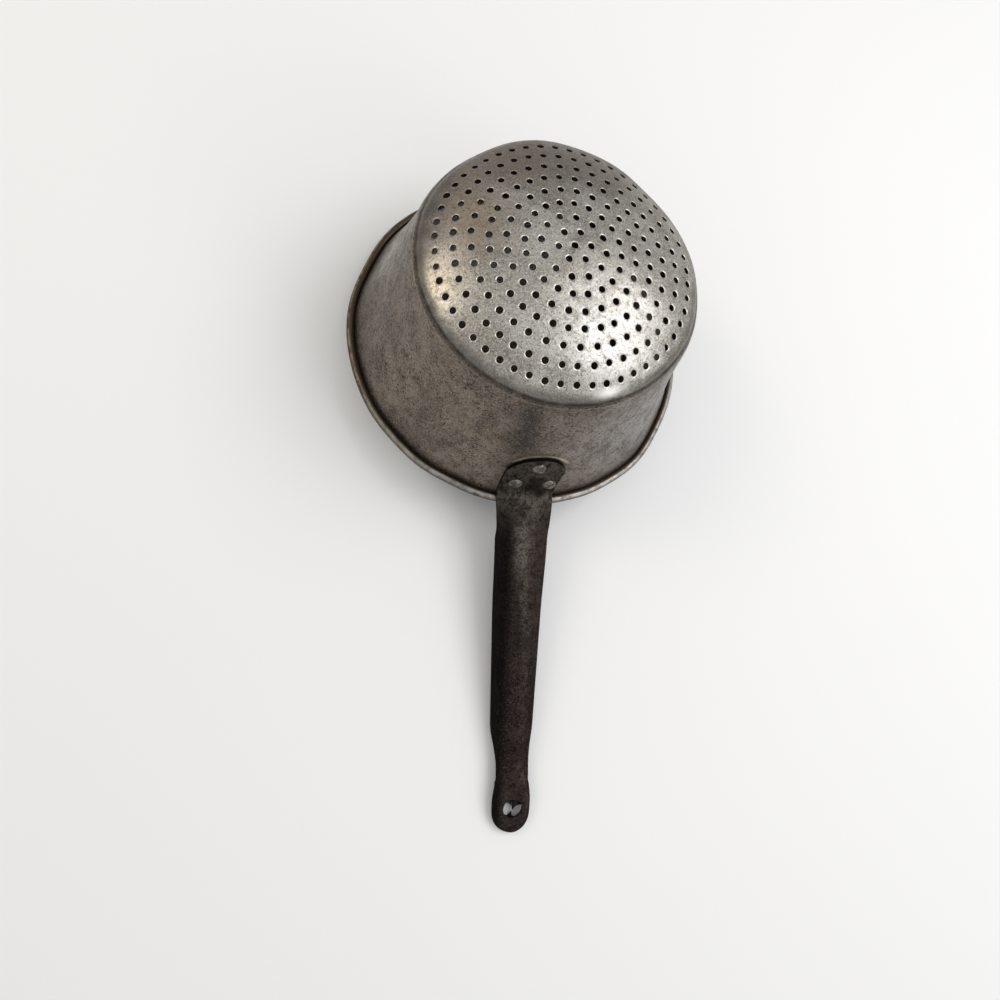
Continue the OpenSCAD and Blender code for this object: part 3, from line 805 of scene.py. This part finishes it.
class Paint:
    """One procedural material. Its sockets are worked out in millimetres of the bowl's own frame."""

    def __init__(self, name, row_frame=False):
        self.material = bpy.data.materials.new(name)
        self.material.use_nodes = True
        self.nodes = self.material.node_tree.nodes
        self.nodes.clear()
        self.shader = self.node("ShaderNodeBsdfPrincipled")
        output = self.node("ShaderNodeOutputMaterial")
        self.link(self.shader.outputs[0], output.inputs[0])
        coordinates = self.node("ShaderNodeTexCoord")
        to_bowl = self.node("ShaderNodeMapping")
        to_bowl.inputs["Scale"].default_value = (1 / MM,) * 3
        if not row_frame:
            to_bowl.inputs["Rotation"].default_value = (LEAN, 0, 0)
            back = Matrix.Rotation(LEAN, 3, "X") @ Vector((0, -RIM_SHIFT, -RIM_LIFT))
            to_bowl.inputs["Location"].default_value = back
        self.link(coordinates.outputs["Object"], to_bowl.inputs["Vector"])
        self.place = to_bowl.outputs[0]

    def node(self, kind, **settings):
        made = self.nodes.new(kind)
        for key, value in settings.items():
            setattr(made, key, value)
        return made

    def link(self, source, target):
        self.material.node_tree.links.new(source, target)

    def put(self, target, value):
        if isinstance(value, bpy.types.NodeSocket):
            self.link(value, target)
        else:
            target.default_value = value

    def math(self, operation, a, b=0.0):
        made = self.node("ShaderNodeMath", operation=operation)
        self.put(made.inputs[0], a)
        self.put(made.inputs[1], b)
        return made.outputs[0]

    def noise(self, size, detail=4.0, rough=0.55, distortion=0.0, stretch=(1, 1, 1), offset=0.0):
        """Noise from about 0 to 1, with features about size millimetres across."""
        shift = self.node("ShaderNodeMapping")
        shift.inputs["Scale"].default_value = stretch
        shift.inputs["Location"].default_value = (offset, offset * 0.7, -offset)
        self.link(self.place, shift.inputs["Vector"])
        made = self.node("ShaderNodeTexNoise")
        self.link(shift.outputs[0], made.inputs["Vector"])
        made.inputs["Scale"].default_value = 1 / size
        made.inputs["Detail"].default_value = detail
        made.inputs["Roughness"].default_value = rough
        made.inputs["Distortion"].default_value = distortion
        return made.outputs["Fac"]

    def step(self, value, low, high, to_low=0.0, to_high=1.0):
        """A smooth step from low to high."""
        made = self.node("ShaderNodeMapRange", interpolation_type="SMOOTHSTEP")
        self.put(made.inputs["Value"], value)
        made.inputs["From Min"].default_value = low
        made.inputs["From Max"].default_value = high
        made.inputs["To Min"].default_value = to_low
        made.inputs["To Max"].default_value = to_high
        return made.outputs[0]

    def blob(self, centre, radius, ragged=0.0):
        """1 at a point of the bowl's frame, falling to 0 at a radius, with a ragged edge if asked."""
        distance = self.distance(centre)
        if ragged:
            shift = self.math("MULTIPLY", self.math("SUBTRACT", self.noise(radius / 3), 0.5), ragged * radius)
            distance = self.math("ADD", distance, shift)
        return self.step(distance, 0.0, radius, 1.0, 0.0)

    def blend(self, share, a, b):
        """Colour a where share is 0 and colour b where it is 1."""
        made = self.node("ShaderNodeMix", data_type="RGBA")
        self.put(made.inputs[0], share)
        for socket, colour in ((made.inputs[6], a), (made.inputs[7], b)):
            if isinstance(colour, bpy.types.NodeSocket):
                self.link(colour, socket)
            else:
                socket.default_value = (*colour, 1)
        return made.outputs[2]

    def attribute(self, name):
        return self.node("ShaderNodeAttribute", attribute_name=name).outputs["Fac"]

    def part(self, axis):
        """One coordinate in the bowl's frame, in millimetres."""
        parts = self.node("ShaderNodeSeparateXYZ")
        self.link(self.place, parts.inputs[0])
        return parts.outputs[axis]

    def band(self, value, middle, half_width):
        """1 where a value is at a middle, falling to 0 at a half width to either side."""
        away = self.math("ABSOLUTE", self.math("SUBTRACT", value, middle))
        return self.step(away, 0.0, half_width, 1.0, 0.0)

    def either(self, a, b):
        return self.math("MAXIMUM", a, b)

    def scaled(self, value, share):
        return self.math("MULTIPLY", value, share)

    def squared(self, value):
        return self.math("MULTIPLY", value, value)

    def distance(self, centre):
        away = self.node("ShaderNodeVectorMath", operation="DISTANCE")
        self.link(self.place, away.inputs[0])
        away.inputs[1].default_value = centre
        return away.outputs["Value"]

    def bump(self, value, distance, strength=1.0, below=None):
        made = self.node("ShaderNodeBump")
        made.inputs["Distance"].default_value = distance * MM
        made.inputs["Strength"].default_value = strength
        self.put(made.inputs["Height"], value)
        if below:
            self.link(below, made.inputs["Normal"])
        return made.outputs[0]

    def finish(self, colour, roughness, normal=None):
        self.put(self.shader.inputs["Base Color"], colour)
        self.put(self.shader.inputs["Roughness"], roughness)
        if normal:
            self.link(normal, self.shader.inputs["Normal"])
        return self.material


def tinned_outside():
    paint = Paint("aged_tin")
    along = paint.attribute("along")
    on_wall = paint.step(along, CREASE_S - 1.4, CREASE_S + 1.0)
    clouds = paint.noise(24, 5, 0.6, 0.6)
    blotch = paint.noise(7, 5, 0.65, 0.6, offset=40)
    speckle = paint.noise(1.0, 4, 0.6, 0.3, offset=7)
    fine = paint.noise(0.75, 3, 0.6, offset=90)

    # Dome: worn silvery tin, warmer where the oven has browned it
    silver = paint.blend(paint.step(clouds, 0.38, 0.64), (0.475, 0.457, 0.417), (0.325, 0.3, 0.26))
    browned = paint.either(paint.blob((-47, 16, 86), 34, 0.6), paint.blob((-36, 52, 80), 40, 0.6))
    silver = paint.blend(paint.scaled(browned, 0.85), silver, (0.36, 0.28, 0.2))
    # Painted dark reflection: the shoulder at the far left is darkened where it mirrors a dark part of the
    # surroundings
    shoulder_dark_reflection = paint.blob((-66, -3, 76), 13, 0.4)
    for centre, radius in [((-65, 8, 77), 15), ((-62, 20, 78), 15), ((-56, 34, 77), 14)]:
        shoulder_dark_reflection = paint.either(shoulder_dark_reflection, paint.blob(centre, radius, 0.4))
    silver = paint.blend(paint.scaled(shoulder_dark_reflection, 0.9), silver, (0.125, 0.1137, 0.1013))
    # Painted highlight: paler, neutral silver where the key lamp's highlight falls on the dome
    silver = paint.blend(paint.scaled(paint.blob((14, -44, 86), 40), 0.8), silver, (0.54, 0.537, 0.525))
    # Painted highlight: a warm cream patch on the left of the dome, where the side lamp's highlight falls
    silver = paint.blend(paint.scaled(paint.blob((-62, -16, 79), 22, 0.3), 0.6), silver, (0.62, 0.54, 0.41))
    far_side = paint.step(paint.part("Y"), 16, 60)
    silver = paint.blend(paint.scaled(far_side, 0.85), silver, (0.128, 0.1, 0.072))
    silver = paint.blend(paint.scaled(paint.step(blotch, 0.5, 0.7), 0.5), silver, (0.25, 0.225, 0.19))
    silver = paint.blend(paint.scaled(paint.step(speckle, 0.52, 0.61), 0.65), silver, (0.1313, 0.115, 0.0975))
    smudged = paint.step(paint.noise(14, 5, 0.65, 0.8, offset=83), 0.52, 0.66)
    silver = paint.blend(paint.scaled(smudged, 0.45), silver, (0.1625, 0.1438, 0.125))
    dull = paint.step(paint.either(paint.either(browned, far_side), shoulder_dark_reflection), 0.0, 0.7, 0.42, 0.14)
    silver = paint.blend(paint.math("MULTIPLY", paint.step(fine, 0.52, 0.62), dull), silver, (0.85, 0.8188, 0.75))

    # Wall: browner and darker, thick with rust flecks and paler at the upper left; painted light makes it paler
    # towards the right, where the key lamp falls, and a painted dark reflection of the handle runs down it
    wall_wear_and_light = paint.blend(paint.step(clouds, 0.36, 0.64), (0.205, 0.167, 0.132), (0.133, 0.1055, 0.083))
    # Painted light: paler towards the right, where the key lamp falls on the wall
    wall_wear_and_light = paint.blend(paint.blob((50, -63, 34), 69, 0.3), wall_wear_and_light, (0.2625, 0.2413, 0.225))
    wall_wear_and_light = paint.blend(paint.blob((-74, 27, 36), 26, 0.3), wall_wear_and_light, (0.375, 0.3562, 0.3313))
    wall_wear_and_light = paint.blend(paint.scaled(paint.step(blotch, 0.44, 0.64), 0.6), wall_wear_and_light, (0.0775, 0.06, 0.0475))
    # Painted dark reflection of the handle, running down the wall to the left of its root
    handle_dark_reflection = paint.blob((-15, -68, 69), 10, 0.2)
    for centre in [(-15, -70, 62), (-14, -71, 55), (-14, -73, 49), (-13, -75, 43)]:
        handle_dark_reflection = paint.either(handle_dark_reflection, paint.blob(centre, 11, 0.2))
    wall_wear_and_light = paint.blend(paint.scaled(handle_dark_reflection, 0.8), wall_wear_and_light, (0.0562, 0.05, 0.045))
    flecks = paint.step(paint.noise(1.0, 3, 0.55, stretch=(0.7, 0.7, 1.2), offset=23), 0.545, 0.6)
    where = paint.step(paint.noise(19, 3, 0.5, offset=55), 0.36, 0.6, 0.45, 1.0)
    wall_wear_and_light = paint.blend(paint.scaled(paint.math("MULTIPLY", flecks, where), 0.85), wall_wear_and_light, (0.03, 0.02, 0.0137))
    wall_wear_and_light = paint.blend(paint.scaled(paint.step(speckle, 0.5, 0.64), 0.35), wall_wear_and_light, (0.0625, 0.05, 0.0413))
    wall_wear_and_light = paint.blend(paint.scaled(paint.step(fine, 0.53, 0.63), 0.45), wall_wear_and_light, (0.425, 0.3875, 0.35))
    base = paint.blend(on_wall, silver, wall_wear_and_light)

    # A brown stain on the wall round the flange's top, part rust and part painted contact shade, with a thin painted
    # highlight line above its edge
    middle = wall_point(flange_angle(FLANGE_RISE - FLANGE_TOP_R), SHEET_T / 2)
    from_flange = paint.distance((FLANGE_SKEW, -middle[0], middle[1]))
    upper = paint.step(paint.part("Z"), middle[1] + 3.5, middle[1] + 5.5)
    edge_r = FLANGE_TOP_R + 0.9
    stained = paint.math("MULTIPLY", paint.step(from_flange, edge_r + 5, edge_r), upper)
    base = paint.blend(paint.scaled(stained, 0.55), base, (0.0562, 0.04, 0.03))
    round_top = paint.step(paint.part("Z"), middle[1] + 8.5, middle[1] + 13)
    line = paint.math("MULTIPLY", paint.band(from_flange, edge_r + 1.1, 1.3), round_top)
    line = paint.math("MULTIPLY", line, paint.step(paint.noise(3, 3, 0.55, offset=29), 0.3, 0.6, 0.45, 0.85))
    base = paint.blend(line, base, (0.55, 0.47, 0.36))

    # Painted shade: a dark line in the crease of the shoulder and a darker band above it, with a painted highlight
    # line beside the crease and a painted glint on the shoulder
    shoulder_shade = paint.step(paint.noise(9, 4, 0.6, offset=71), 0.3, 0.62, 0.3, 0.75)
    shoulder_shade = paint.math("MULTIPLY", paint.band(along, CREASE_S - 2.2, 4.4), shoulder_shade)
    base = paint.blend(shoulder_shade, base, (0.13, 0.118, 0.103))
    glint = paint.math("MULTIPLY", paint.band(along, 66.2, 3.4), paint.step(paint.part("Y"), -40, -52))
    glint = paint.math("MULTIPLY", glint, paint.band(paint.part("X"), 17.5, 10))
    base = paint.blend(paint.scaled(glint, 0.75), base, (0.9, 0.895, 0.88))
    broken = paint.step(paint.noise(7, 3, 0.55, offset=61), 0.34, 0.6, 0.5, 0.9)
    crease = paint.math("MULTIPLY", paint.band(along, CREASE_S + 0.1, 1.7), broken)
    base = paint.blend(crease, base, (0.0438, 0.035, 0.0287))
    # Painted highlight line beside the crease
    base = paint.blend(paint.scaled(paint.band(along, CREASE_S + 2.3, 0.7), 0.3), base, (0.375, 0.35, 0.3187))

    # Rolled rim: grime in the angle, metal rubbed bright along the crest on the handle's side, which is also a
    # painted highlight there, and a thin gold painted highlight along the crest on the left
    bead = paint.step(along, ARC_ENDS[4] - 0.9, ARC_ENDS[4])
    base = paint.blend(bead, base, (0.0775, 0.0587, 0.0413))
    rubbed_and_highlight = paint.math("MULTIPLY", paint.band(along, 156.6, 1.7), paint.step(paint.noise(5, 4, 0.6, offset=3), 0.2, 0.6))
    towards_handle = paint.math("SUBTRACT", paint.scaled(paint.part("X"), 0.28), paint.part("Y"))
    rubbed_and_highlight = paint.math("MULTIPLY", rubbed_and_highlight, paint.step(towards_handle, 0, 58))
    base = paint.blend(rubbed_and_highlight, base, (0.43, 0.415, 0.39))
    gold_crest_highlight = paint.math("MULTIPLY", paint.band(along, 156.4, 0.8), paint.step(paint.noise(4, 4, 0.6, offset=13), 0.4, 0.56))
    gold_crest_highlight = paint.math("MULTIPLY", gold_crest_highlight, paint.step(paint.part("X"), -30, -60))
    base = paint.blend(paint.scaled(gold_crest_highlight, 0.7), base, (0.375, 0.2937, 0.1875))

    # Holes: a rubbed edge round each, brightened as a painted highlight of its punched lip, and dark metal through
    # its thickness
    edge = paint.attribute("hole_edge")
    rubbed_and_lit_hole_edge = paint.math("MULTIPLY", paint.step(edge, 0.35, 0.8), paint.step(dull, 0.14, 0.42, 0.12, 0.75))
    base = paint.blend(rubbed_and_lit_hole_edge, base, (0.775, 0.75, 0.7))
    in_hole = paint.step(edge, 1.5, 2.2)
    base = paint.blend(in_hole, base, (0.06, 0.047, 0.036))

    rough = paint.math("ADD", paint.step(blotch, 0.3, 0.7, 0.3, 0.44), paint.scaled(flecks, 0.14))
    rough = paint.math("ADD", rough, paint.step(fine, 0.3, 0.7, -0.06, 0.08))
    normal = paint.bump(fine, 0.05, 0.8)
    normal = paint.bump(speckle, 0.07, 0.8, normal)
    normal = paint.bump(paint.noise(4, 3, 0.5, offset=12), 0.14, 0.7, normal)
    normal = paint.bump(clouds, 0.6, 0.5, normal)
    rough = paint.math("ADD", rough, paint.scaled(in_hole, 0.35))
    paint.shader.inputs["Metallic"].default_value = 0.92
    return paint.finish(base, rough, normal)


def tinned_inside():
    paint = Paint("stained_tin_inside")
    clouds = paint.noise(22, 5, 0.6, 0.5)
    base = paint.blend(paint.step(clouds, 0.35, 0.65), (0.1125, 0.09, 0.0688), (0.0562, 0.0425, 0.0325))
    base = paint.blend(paint.scaled(paint.step(paint.noise(2, 4, offset=8), 0.5, 0.62), 0.6), base, (0.025, 0.0175, 0.0125))
    base = paint.blend(paint.step(paint.attribute("hole_edge"), 1.5, 2.2), base, (0.075, 0.06, 0.0475))
    rough = paint.step(paint.noise(4, 4), 0.3, 0.7, 0.5, 0.7)
    paint.shader.inputs["Metallic"].default_value = 0.6
    return paint.finish(base, rough, paint.bump(paint.noise(2, 4, offset=5), 0.1, 0.6))


def dark_iron():
    paint = Paint("dark_iron")
    across, back = paint.part("X"), paint.part("Y")
    clouds = paint.noise(16, 5, 0.6, 0.5)
    mottle = paint.noise(4.5, 5, 0.66, 0.5, offset=52)
    pits = paint.noise(1.8, 4, 0.62, 0.2, offset=17)
    grain = paint.noise(0.8, 4, 0.62, offset=31)
    base = paint.blend(paint.step(clouds, 0.36, 0.64), (0.0425, 0.0312, 0.0281), (0.025, 0.0181, 0.0169))
    # The tip is a lighter brown, and the right flank is painted lighter as painted light, where the key lamp falls on
    # it
    lit_right_flank = paint.math("MULTIPLY", paint.step(across, 5, 9.5), paint.step(back, -190, -150))
    lighter = paint.either(paint.scaled(paint.step(back, -226, -240), 0.2), paint.scaled(lit_right_flank, 0.6))
    base = paint.blend(lighter, base, (0.082, 0.064, 0.057))
    # Flange and bend: greyer, with black stains
    near_bowl = paint.step(back, -116, -100)
    grey = paint.blend(paint.step(paint.part("Z"), -1, 7), (0.049, 0.0415, 0.0355), (0.09, 0.077, 0.065))
    base = paint.blend(near_bowl, base, grey)
    stained = paint.scaled(paint.step(mottle, 0.42, 0.66), 0.66)
    base = paint.blend(paint.math("MULTIPLY", near_bowl, stained), base, (0.0163, 0.0125, 0.0106))
    # The grip is rubbed a little left of its middle, where the hand closes on it, and this paler wear along its crown
    # is also a painted highlight
    drift = paint.math("ADD", across, paint.scaled(paint.math("SUBTRACT", paint.noise(4, 4, 0.6, offset=44), 0.5), 9))
    palm_wear_and_highlight = paint.math("MULTIPLY", paint.step(back, -142, -122), paint.step(back, -101, -110))
    palm_wear_and_highlight = paint.math("MULTIPLY", paint.band(drift, -2.6, 8), palm_wear_and_highlight)
    ridge = paint.math("MULTIPLY", paint.band(drift, 0.5, 3), paint.step(back, -176, -140))
    ridge = paint.math("MULTIPLY", ridge, paint.step(back, -102, -112))
    rubbed_and_highlight = paint.either(palm_wear_and_highlight, paint.scaled(ridge, 0.5))
    rubbed_and_highlight = paint.math("MULTIPLY", rubbed_and_highlight, paint.step(pits, 0.4, 0.56, 0.2, 1.0))
    base = paint.blend(rubbed_and_highlight, base, (0.2, 0.178, 0.152))
    # Painted shade on the left flank of the grip, which turns away from the light
    shaded_left_flank = paint.math("MULTIPLY", paint.step(across, -3.5, -9.5), paint.step(back, -92, -122))
    base = paint.blend(paint.scaled(shaded_left_flank, 0.9), base, (0.0037, 0.0028, 0.0025))
    base = paint.blend(paint.scaled(paint.step(mottle, 0.48, 0.62), 0.55), base, (0.0125, 0.0094, 0.0081))
    base = paint.blend(paint.scaled(paint.step(pits, 0.52, 0.6), 0.75), base, (0.01, 0.0075, 0.0063))
    specks = paint.scaled(paint.step(grain, 0.55, 0.64), paint.step(across, -12, -4, 0.1, 0.38))
    base = paint.blend(specks, base, (0.175, 0.1475, 0.125))
    stain = paint.either(paint.blob((1, -87, 12), 9, 0.6), paint.blob((5, -89, 7), 8, 0.8))
    base = paint.blend(paint.scaled(stain, 0.85), base, (0.01, 0.0069, 0.0063))
    # Painted shade: the sheet's cut edges are darkened as if in shadow
    base = paint.blend(paint.step(paint.attribute("cut_edge"), 0.3, 0.9), base, (0.0075, 0.0056, 0.005))
    rough = paint.math("ADD", paint.step(clouds, 0.3, 0.7, 0.38, 0.48), paint.step(grain, 0.3, 0.7, -0.05, 0.1))
    normal = paint.bump(grain, 0.08, 0.8)
    normal = paint.bump(pits, 0.16, 0.7, normal)
    normal = paint.bump(mottle, 0.25, 0.6, normal)
    paint.shader.inputs["Metallic"].default_value = 0.85
    paint.shader.inputs["Specular IOR Level"].default_value = 0.35
    paint.shader.inputs["Specular Tint"].default_value = (0.3, 0.3, 0.3, 1)
    return paint.finish(base, rough, normal)


def rivet_iron():
    paint = Paint("worn_rivet_iron")
    clouds = paint.noise(3.2, 4, 0.62, 0.5)
    base = paint.blend(paint.step(clouds, 0.35, 0.65), (0.3, 0.268, 0.232), (0.105, 0.088, 0.076))
    base = paint.blend(paint.scaled(paint.step(paint.noise(0.9, 3, offset=9), 0.5, 0.64), 0.7), base, (0.0375, 0.0275, 0.0238))
    paint.shader.inputs["Metallic"].default_value = 0.85
    rough = paint.step(clouds, 0.3, 0.7, 0.4, 0.52)
    return paint.finish(base, rough, paint.bump(paint.noise(1.2, 4), 0.14, 0.8))


def wire_steel():
    paint = Paint("wire_steel")
    base = paint.blend(paint.noise(4, 4), (0.2, 0.175, 0.15), (0.1, 0.0813, 0.0688))
    paint.shader.inputs["Metallic"].default_value = 0.8
    return paint.finish(base, paint.step(paint.noise(2, 3), 0.3, 0.7, 0.4, 0.6))


def floor_white():
    """A pale floor, with deep shade right under the bowl so that its holes look as dark as in the photograph."""
    paint = Paint("pale_floor", row_frame=True)
    paint.shader.inputs["Specular IOR Level"].default_value = 0.1
    tone = paint.blend(paint.noise(300, 2), (0.905, 0.905, 0.905), (0.925, 0.925, 0.925))
    x = paint.scaled(paint.math("SUBTRACT", paint.part("X"), SHADE_MIDDLE[0]), 1 / SHADE_HALF[0])
    y = paint.scaled(paint.math("SUBTRACT", paint.part("Y"), SHADE_MIDDLE[1]), 1 / SHADE_HALF[1])
    away = paint.math("SQRT", paint.math("ADD", paint.squared(x), paint.squared(y)))
    far_left = paint.math("MULTIPLY", paint.step(paint.part("Y"), 124, 142), paint.step(paint.part("X"), 45, 20))
    brown = paint.math("MULTIPLY", paint.step(away, 0.97, 0.9), paint.step(far_left, 0, 1, 1, 0))
    tone = paint.blend(brown, tone, (0.26, 0.215, 0.165))
    right = paint.math("MULTIPLY", paint.step(away, 0.97, 0.93), paint.step(x, 0.15, 0.6))
    tone = paint.blend(right, tone, (0.05, 0.043, 0.036))
    return paint.finish(tone, 0.9)


bowl, bowl_sides = build_bowl()
wire = build_wire()
handle = build_handle()
rivets = [
    build_rivet("rivet_left_worn", RIVET_LOW, -RIVET_SIDE, 3),
    build_rivet("rivet_right_worn", RIVET_LOW, RIVET_SIDE, 4),
    build_rivet("rivet_top_worn", RIVET_HIGH, 0, 5),
]

# What each new piece stands for, with its material slot
for piece, node, slot in [
    (bowl, "bowl", "tinned_sheet"),
    (wire, "rim_wire", "wire"),
    (handle, "handle", "handle_iron"),
    (rivets[0], "rivet_left", "rivet_iron"),
    (rivets[1], "rivet_right", "rivet_iron"),
    (rivets[2], "rivet_top", "rivet_iron"),
]:
    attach(piece, "root")
    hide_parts(node)

bowl.data.materials.append(tinned_outside())
bowl.data.materials.append(tinned_inside())
bowl.data.polygons.foreach_set("material_index", bowl_sides)
wire.data.materials.append(wire_steel())
handle.data.materials.append(dark_iron())
rivet_finish = rivet_iron()
for rivet in rivets:
    rivet.data.materials.append(rivet_finish)

# The floor
floor_half = 4.0
floor = new_object(
    "floor",
    [(-floor_half, -floor_half, 0), (floor_half, -floor_half, 0), (floor_half, floor_half, 0), (-floor_half, floor_half, 0)],
    [(0, 1, 2, 3)],
)
floor.data.materials.append(floor_white())

# The camera: place in metres, direction of view, the picture's up, and focal length in picture widths
CAMERA_AT = Vector((-0.0991, -0.0268, 0.3764))
VIEW = Vector((0.2388, 0.0708, -0.9685)).normalized()
PICTURE_UP = Vector((-0.0244, 0.9975, 0.0669))
FOCAL = 0.6691
camera_data = bpy.data.cameras.new("camera")
camera_data.sensor_width = 36
camera_data.lens = FOCAL * camera_data.sensor_width
camera_data.clip_start = 0.01
camera = bpy.data.objects.new("camera", camera_data)
bpy.context.scene.collection.objects.link(camera)
right = VIEW.cross(PICTURE_UP).normalized()
up = right.cross(VIEW)
camera.matrix_world = Matrix.Translation(CAMERA_AT) @ Matrix((right, up, -VIEW)).transposed().to_4x4()
bpy.context.scene.camera = camera


def softbox(name, azimuth, elevation, distance, width, height, strength, colour=(1, 1, 1)):
    """A soft lamp that looks at the bowl from a direction: azimuth 0 is +X and 90 is +Y."""
    target = Vector((0, 0.09, 0.07))
    a, e = math.radians(azimuth), math.radians(elevation)
    direction = Vector((math.cos(a) * math.cos(e), math.sin(a) * math.cos(e), math.sin(e)))
    data = bpy.data.lights.new(name, "AREA")
    data.shape = "RECTANGLE"
    data.size, data.size_y = width, height
    data.energy = strength * width * height * math.pi * math.pi
    data.color = colour
    lamp = bpy.data.objects.new(name, data)
    bpy.context.scene.collection.objects.link(lamp)
    lamp.matrix_world = Matrix.Translation(target + direction * distance) @ direction.to_track_quat("Z", "Y").to_matrix().to_4x4()
    return lamp


softbox("key", 14, 54, 1.1, 0.74, 0.68, 1.0)
softbox("low_key", -40, 32, 1.1, 0.4, 0.36, 0.68)
softbox("side", 155, 40, 1.1, 0.36, 0.4, 1.36, (1, 0.9, 0.74))

# A pale studio round it, a little darker towards the horizon
world = bpy.data.worlds.new("studio")
world.use_nodes = True
bpy.context.scene.world = world
nodes, links = world.node_tree.nodes, world.node_tree.links
background = nodes["Background"]
coordinates = nodes.new("ShaderNodeTexCoord")
parts = nodes.new("ShaderNodeSeparateXYZ")
links.new(coordinates.outputs["Generated"], parts.inputs[0])
fade = nodes.new("ShaderNodeMapRange")
fade.inputs["From Min"].default_value = 0.0
fade.inputs["From Max"].default_value = 0.8
fade.inputs["To Min"].default_value = 0.36
fade.inputs["To Max"].default_value = 0.64
links.new(parts.outputs["Z"], fade.inputs["Value"])
links.new(fade.outputs[0], background.inputs["Strength"])
background.inputs["Color"].default_value = (1, 1, 1, 1)
bpy.context.scene.view_settings.view_transform = "Standard"
